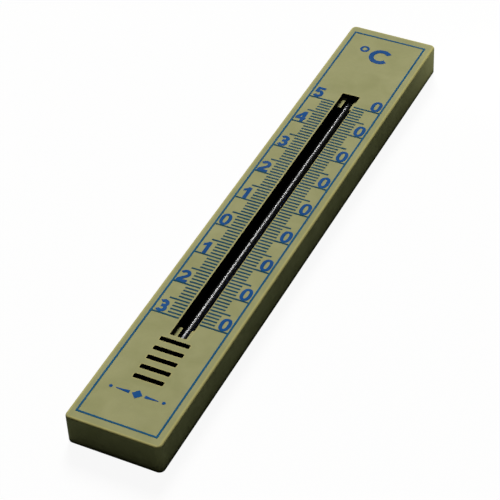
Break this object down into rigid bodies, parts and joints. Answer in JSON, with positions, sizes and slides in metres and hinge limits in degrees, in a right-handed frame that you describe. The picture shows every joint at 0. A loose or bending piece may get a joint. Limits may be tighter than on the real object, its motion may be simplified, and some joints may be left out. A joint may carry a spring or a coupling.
{
  "type": "wall thermometer",
  "caption": "Slim rectangular wall thermometer with a glass spirit tube behind a long window, louvres over the bulb and a printed Celsius scale.",
  "frame": {"origin": "middle of the casing's back, on the surface it lies on", "axes": "+X across the face to the right, +Y up the scale, +Z out of the face"},
  "size_m": [0.0306, 0.2, 0.0106],
  "materials": {
    "casing": "satin moulded plastic, warm olive beige",
    "back": "black moulded plastic",
    "glass": "clear drawn glass",
    "spirit": "dark blue dyed spirit",
    "adhesive": "set amber adhesive",
    "ink": "blue printed ink"
  },
  "bodies": {
    "casing": {"front_housing": "casing", "back_plate": "back", "glass_stem": "glass", "glass_bulb": "glass", "bulb_spirit": "spirit", "spirit_thread": "spirit", "fixing_bead": "adhesive", "print_border": "ink", "print_degree_marks": "ink", "print_five_marks": "ink", "print_ten_lines": "ink", "print_tens_figures": "ink", "print_zero_figures": "ink", "print_degree_ring": "ink", "print_letter_c": "ink", "print_ornament": "ink"},
    "spirit_top": {"spirit_head": "spirit"}
  },
  "joints": [
    {"name": "spirit_rise", "type": "slide", "parent": "casing", "child": "spirit_top", "axis": [0, 1, 0], "range_m": [-0.06925, 0.04155], "deforming": ["spirit_thread"]}
  ]
}
